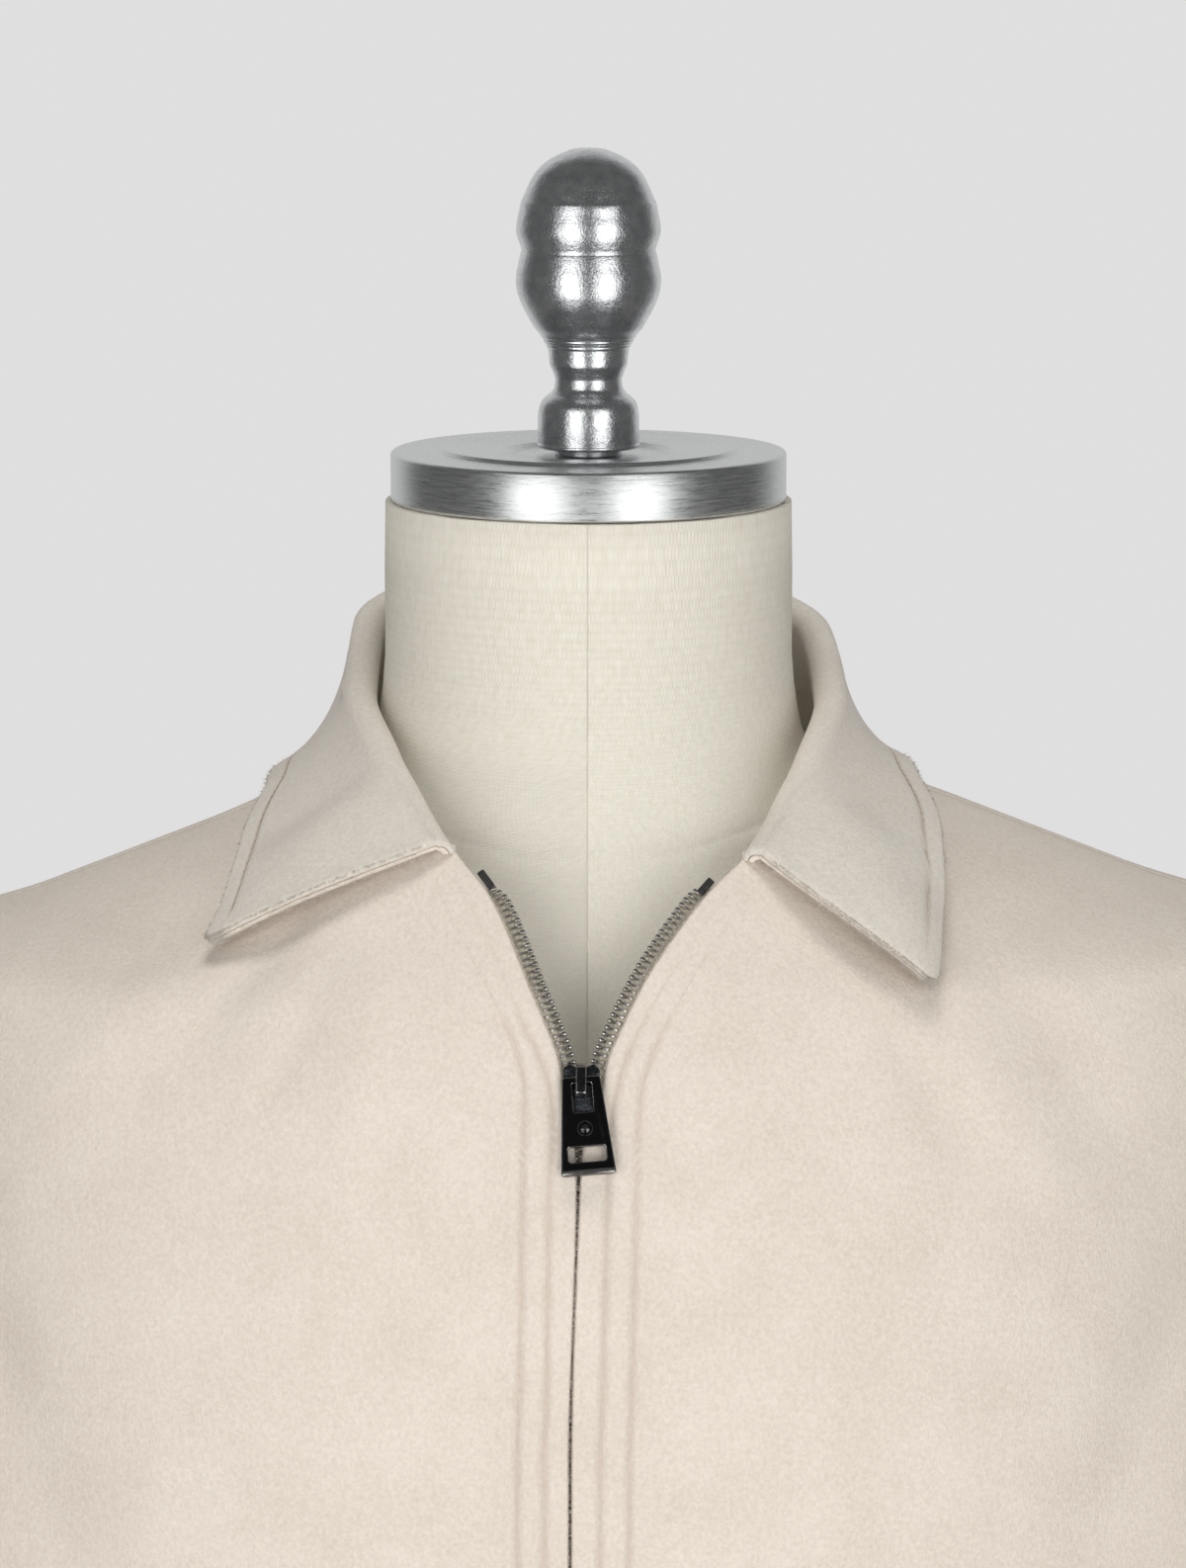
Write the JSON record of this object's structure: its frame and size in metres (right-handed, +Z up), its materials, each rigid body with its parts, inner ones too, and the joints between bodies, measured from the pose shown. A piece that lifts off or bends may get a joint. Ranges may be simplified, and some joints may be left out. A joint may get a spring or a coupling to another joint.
{
  "type": "zip-front wool overcoat on a limbless dress form",
  "caption": "Mid-thigh wool overcoat with a turned-down collar and metal front zip, open at the neck, on a covered torso form with a metal neck cap, turned finial and round foot.",
  "frame": {"origin": "centre of the underside of the stand's round foot, on the pole's axis, at floor height", "axes": "+Z up the pole; the coat's front faces -Y; the wearer's left sleeve is at +X"},
  "size_m": [0.663, 0.37, 1.6658],
  "materials": {
    "wool_coating": "brushed wool coating, cream, with a soft raised nap",
    "zip_tape": "woven cream zip tape, matt",
    "dark_zip_metal": "gunmetal plating, worn bright along the edges",
    "zip_teeth": "bright nickel zip teeth",
    "form_cover": "cream linen cover, stretched smooth",
    "turned_aluminium": "turned aluminium, brushed round the rim",
    "cast_aluminium": "cast aluminium, pitted and softly polished",
    "stand_paint": "satin grey paint on steel and cast iron"
  },
  "bodies": {
    "root": {"front_left": "wool_coating", "front_right": "wool_coating", "back": "wool_coating", "sleeve_left": "wool_coating", "sleeve_right": "wool_coating", "under_collar": "wool_coating", "upper_collar": "wool_coating", "zip_tape_left": "zip_tape", "zip_tape_right": "zip_tape", "zip_stop_left": "dark_zip_metal", "zip_stop_right": "dark_zip_metal", "zip_slider": "dark_zip_metal", "zip_box": "dark_zip_metal", "form_torso": "form_cover", "neck_cap": "turned_aluminium", "finial": "cast_aluminium", "pole": "stand_paint", "base": "stand_paint"},
    "tab": {"pull_tab": "dark_zip_metal"}
  },
  "joints": [
    {"name": "tab_swing", "type": "hinge", "parent": "root", "child": "tab", "pos_m": [-0.00201, -0.12786, 1.40774], "axis": [-0.9967, -0.0284, -0.0755], "range_deg": [0, 170]}
  ]
}
